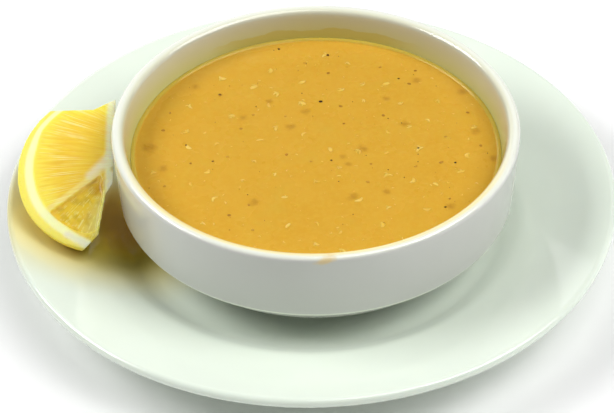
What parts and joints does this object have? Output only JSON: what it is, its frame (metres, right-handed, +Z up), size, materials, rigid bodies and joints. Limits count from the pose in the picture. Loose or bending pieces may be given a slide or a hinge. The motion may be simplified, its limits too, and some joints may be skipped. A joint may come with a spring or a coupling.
{
  "type": "bowl of lentil soup",
  "caption": "Straight-sided white bowl of golden lentil soup standing on its wide-rimmed plate, with a lemon wedge on the rim leaning against the bowl.",
  "frame": {"origin": "on the table under the middle of the plate, which is the middle of the whole's base", "axes": "+Z up, the lemon wedge on the -X side, -Y towards the viewer of the picture"},
  "size_m": [0.21, 0.21, 0.0489],
  "materials": {
    "plate_glaze": "glossy white glaze with a faint green cast",
    "bowl_glaze": "glossy neutral white glaze",
    "lentil_soup": null,
    "lemon": null
  },
  "bodies": {
    "root": {"plate": "plate_glaze", "bowl": "bowl_glaze", "soup": "lentil_soup", "lemon_wedge": "lemon"}
  },
  "joints": []
}
